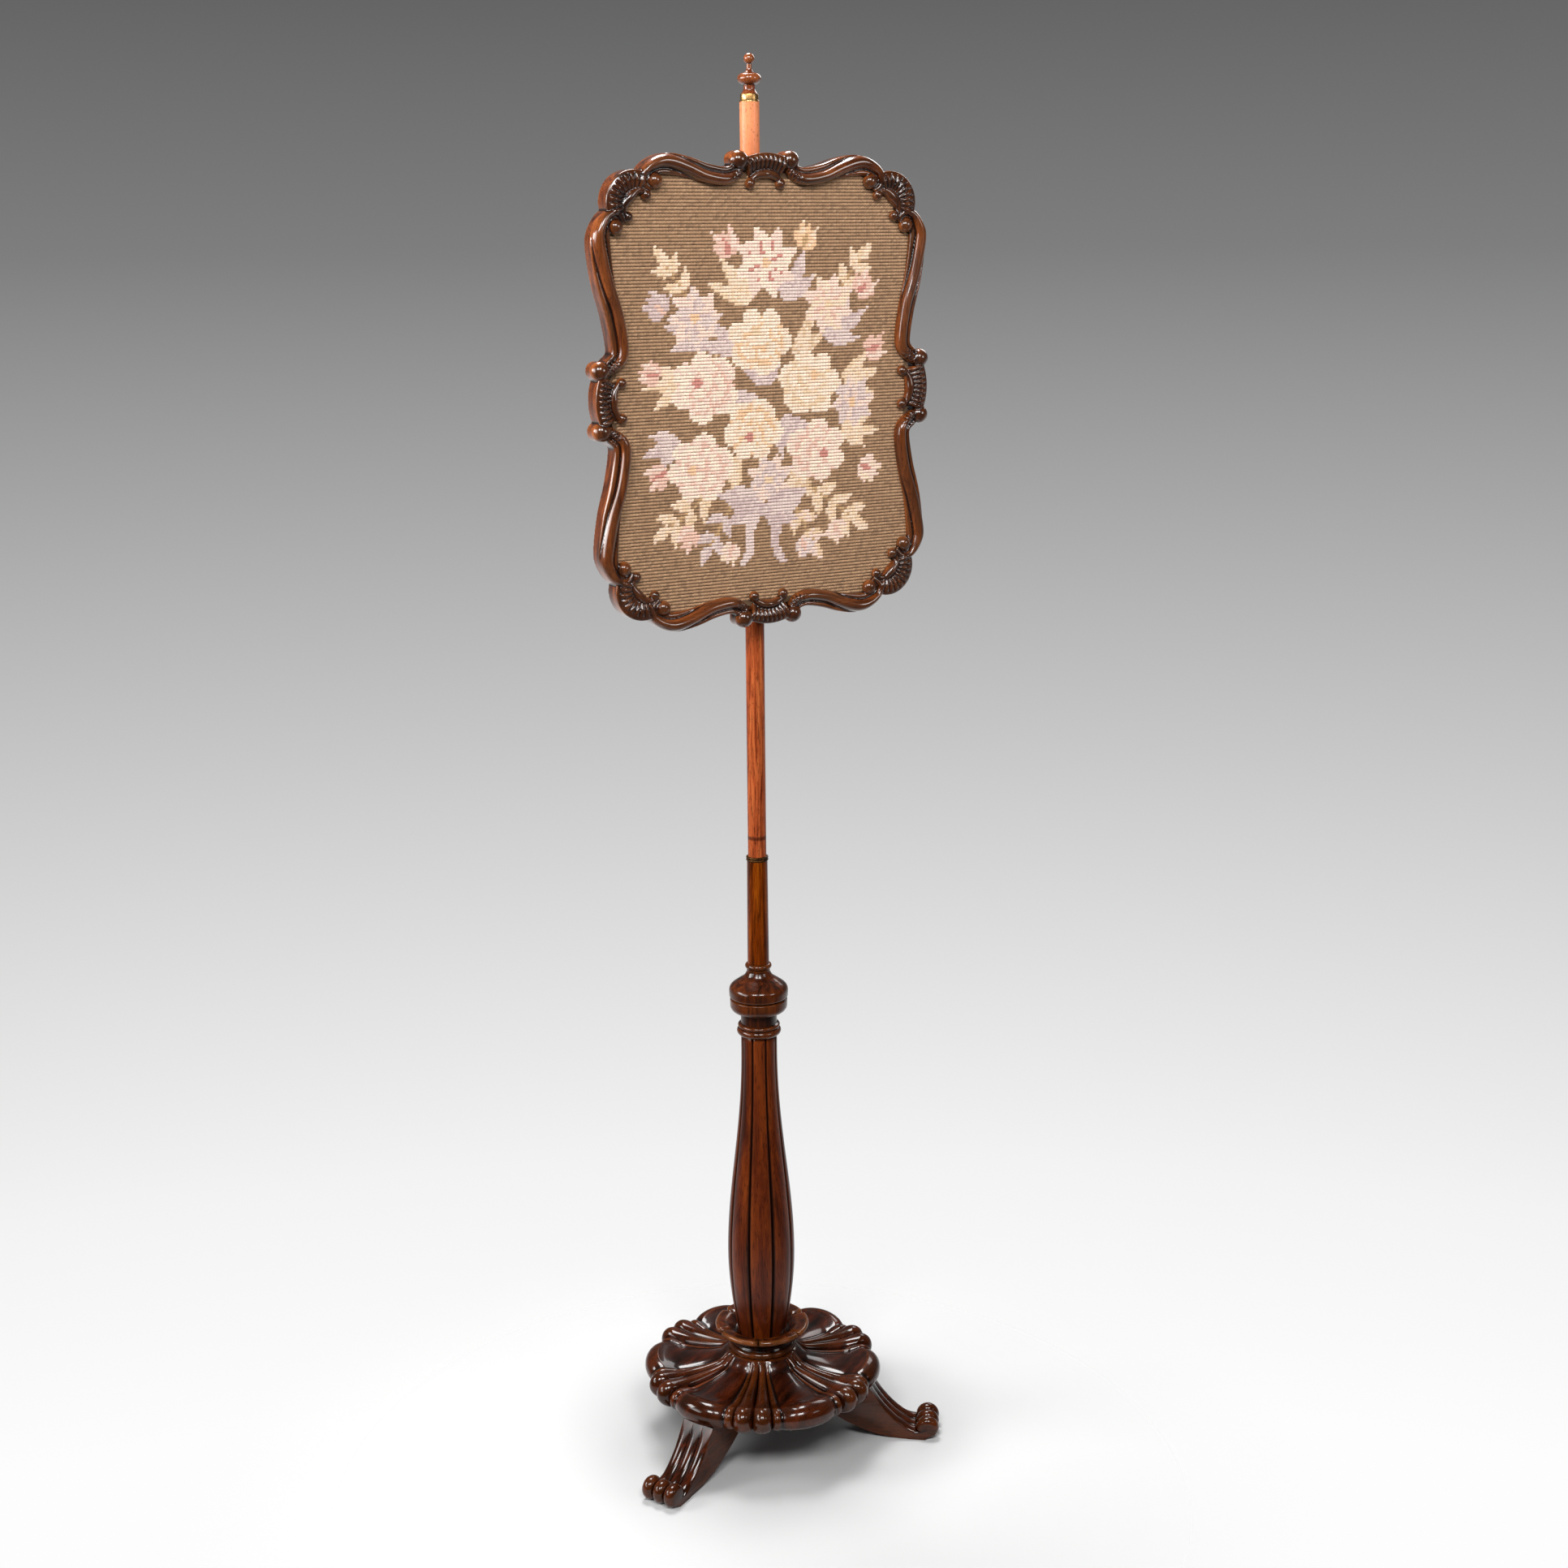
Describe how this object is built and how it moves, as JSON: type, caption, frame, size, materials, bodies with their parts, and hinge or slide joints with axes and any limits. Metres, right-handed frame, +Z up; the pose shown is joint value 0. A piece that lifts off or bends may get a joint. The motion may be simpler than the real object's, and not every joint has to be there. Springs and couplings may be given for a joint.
{
  "type": "pole screen",
  "caption": "Pole screen: carved cartouche frame with a needlework panel that slides and turns on a turned pole, above a reeded column, a lobed platform and a tripod of scrolled feet.",
  "frame": {"origin": "on the floor, on the pole's axis", "axes": "+Z up along the pole; the screen faces -Y at rest; +X to the screen's left as it faces out"},
  "size_m": [0.3738, 0.325, 1.45],
  "materials": {
    "rosewood_base": "dark, polished",
    "rosewood_turned": "polished",
    "rosewood_frame": "polished, worn on the crests",
    "pole_wood": "polished",
    "brass": "aged",
    "needlework": "wool stitches on canvas",
    "pine": "plain",
    "mahogany": "plain",
    "steel": "plain"
  },
  "bodies": {
    "stand": {"leg_front_left": "rosewood_base", "leg_front_right": "rosewood_base", "leg_rear": "rosewood_base", "leg_dowels": "pine", "platform": "rosewood_base", "collar_base": "rosewood_base", "petal_collar": "rosewood_base", "column": "rosewood_turned", "capital": "rosewood_turned", "knop": "rosewood_turned", "sleeve": "rosewood_turned", "sleeve_ring": "brass"},
    "pole": {"pole": "pole_wood", "ferrule": "brass", "finial": "pole_wood"},
    "screen": {"frame_top": "rosewood_frame", "frame_bottom": "rosewood_frame", "frame_left": "rosewood_frame", "frame_right": "rosewood_frame", "needlework": "needlework", "strainer_left": "pine", "strainer_right": "pine", "strainer_top": "pine", "strainer_bottom": "pine", "back_panel": "mahogany", "panel_brads": "steel", "bracket_upper": "brass", "bracket_lower": "brass", "bracket_screws": "brass"},
    "thumbscrew": {"thumbscrew": "brass"}
  },
  "joints": [
    {"name": "pole_swivel", "type": "hinge", "parent": "stand", "child": "pole", "pos_m": [0, 0, 0.659], "axis": [0, 0, 1], "continuous": true},
    {"name": "screen_slide", "type": "slide", "parent": "pole", "child": "screen", "axis": [0, 0, 1], "range_m": [-0.235, 0.045]},
    {"name": "thumbscrew_turn", "type": "hinge", "parent": "screen", "child": "thumbscrew", "pos_m": [0, 0.02, 1.349], "axis": [0, 1, 0], "range_deg": [-180, 180]}
  ]
}
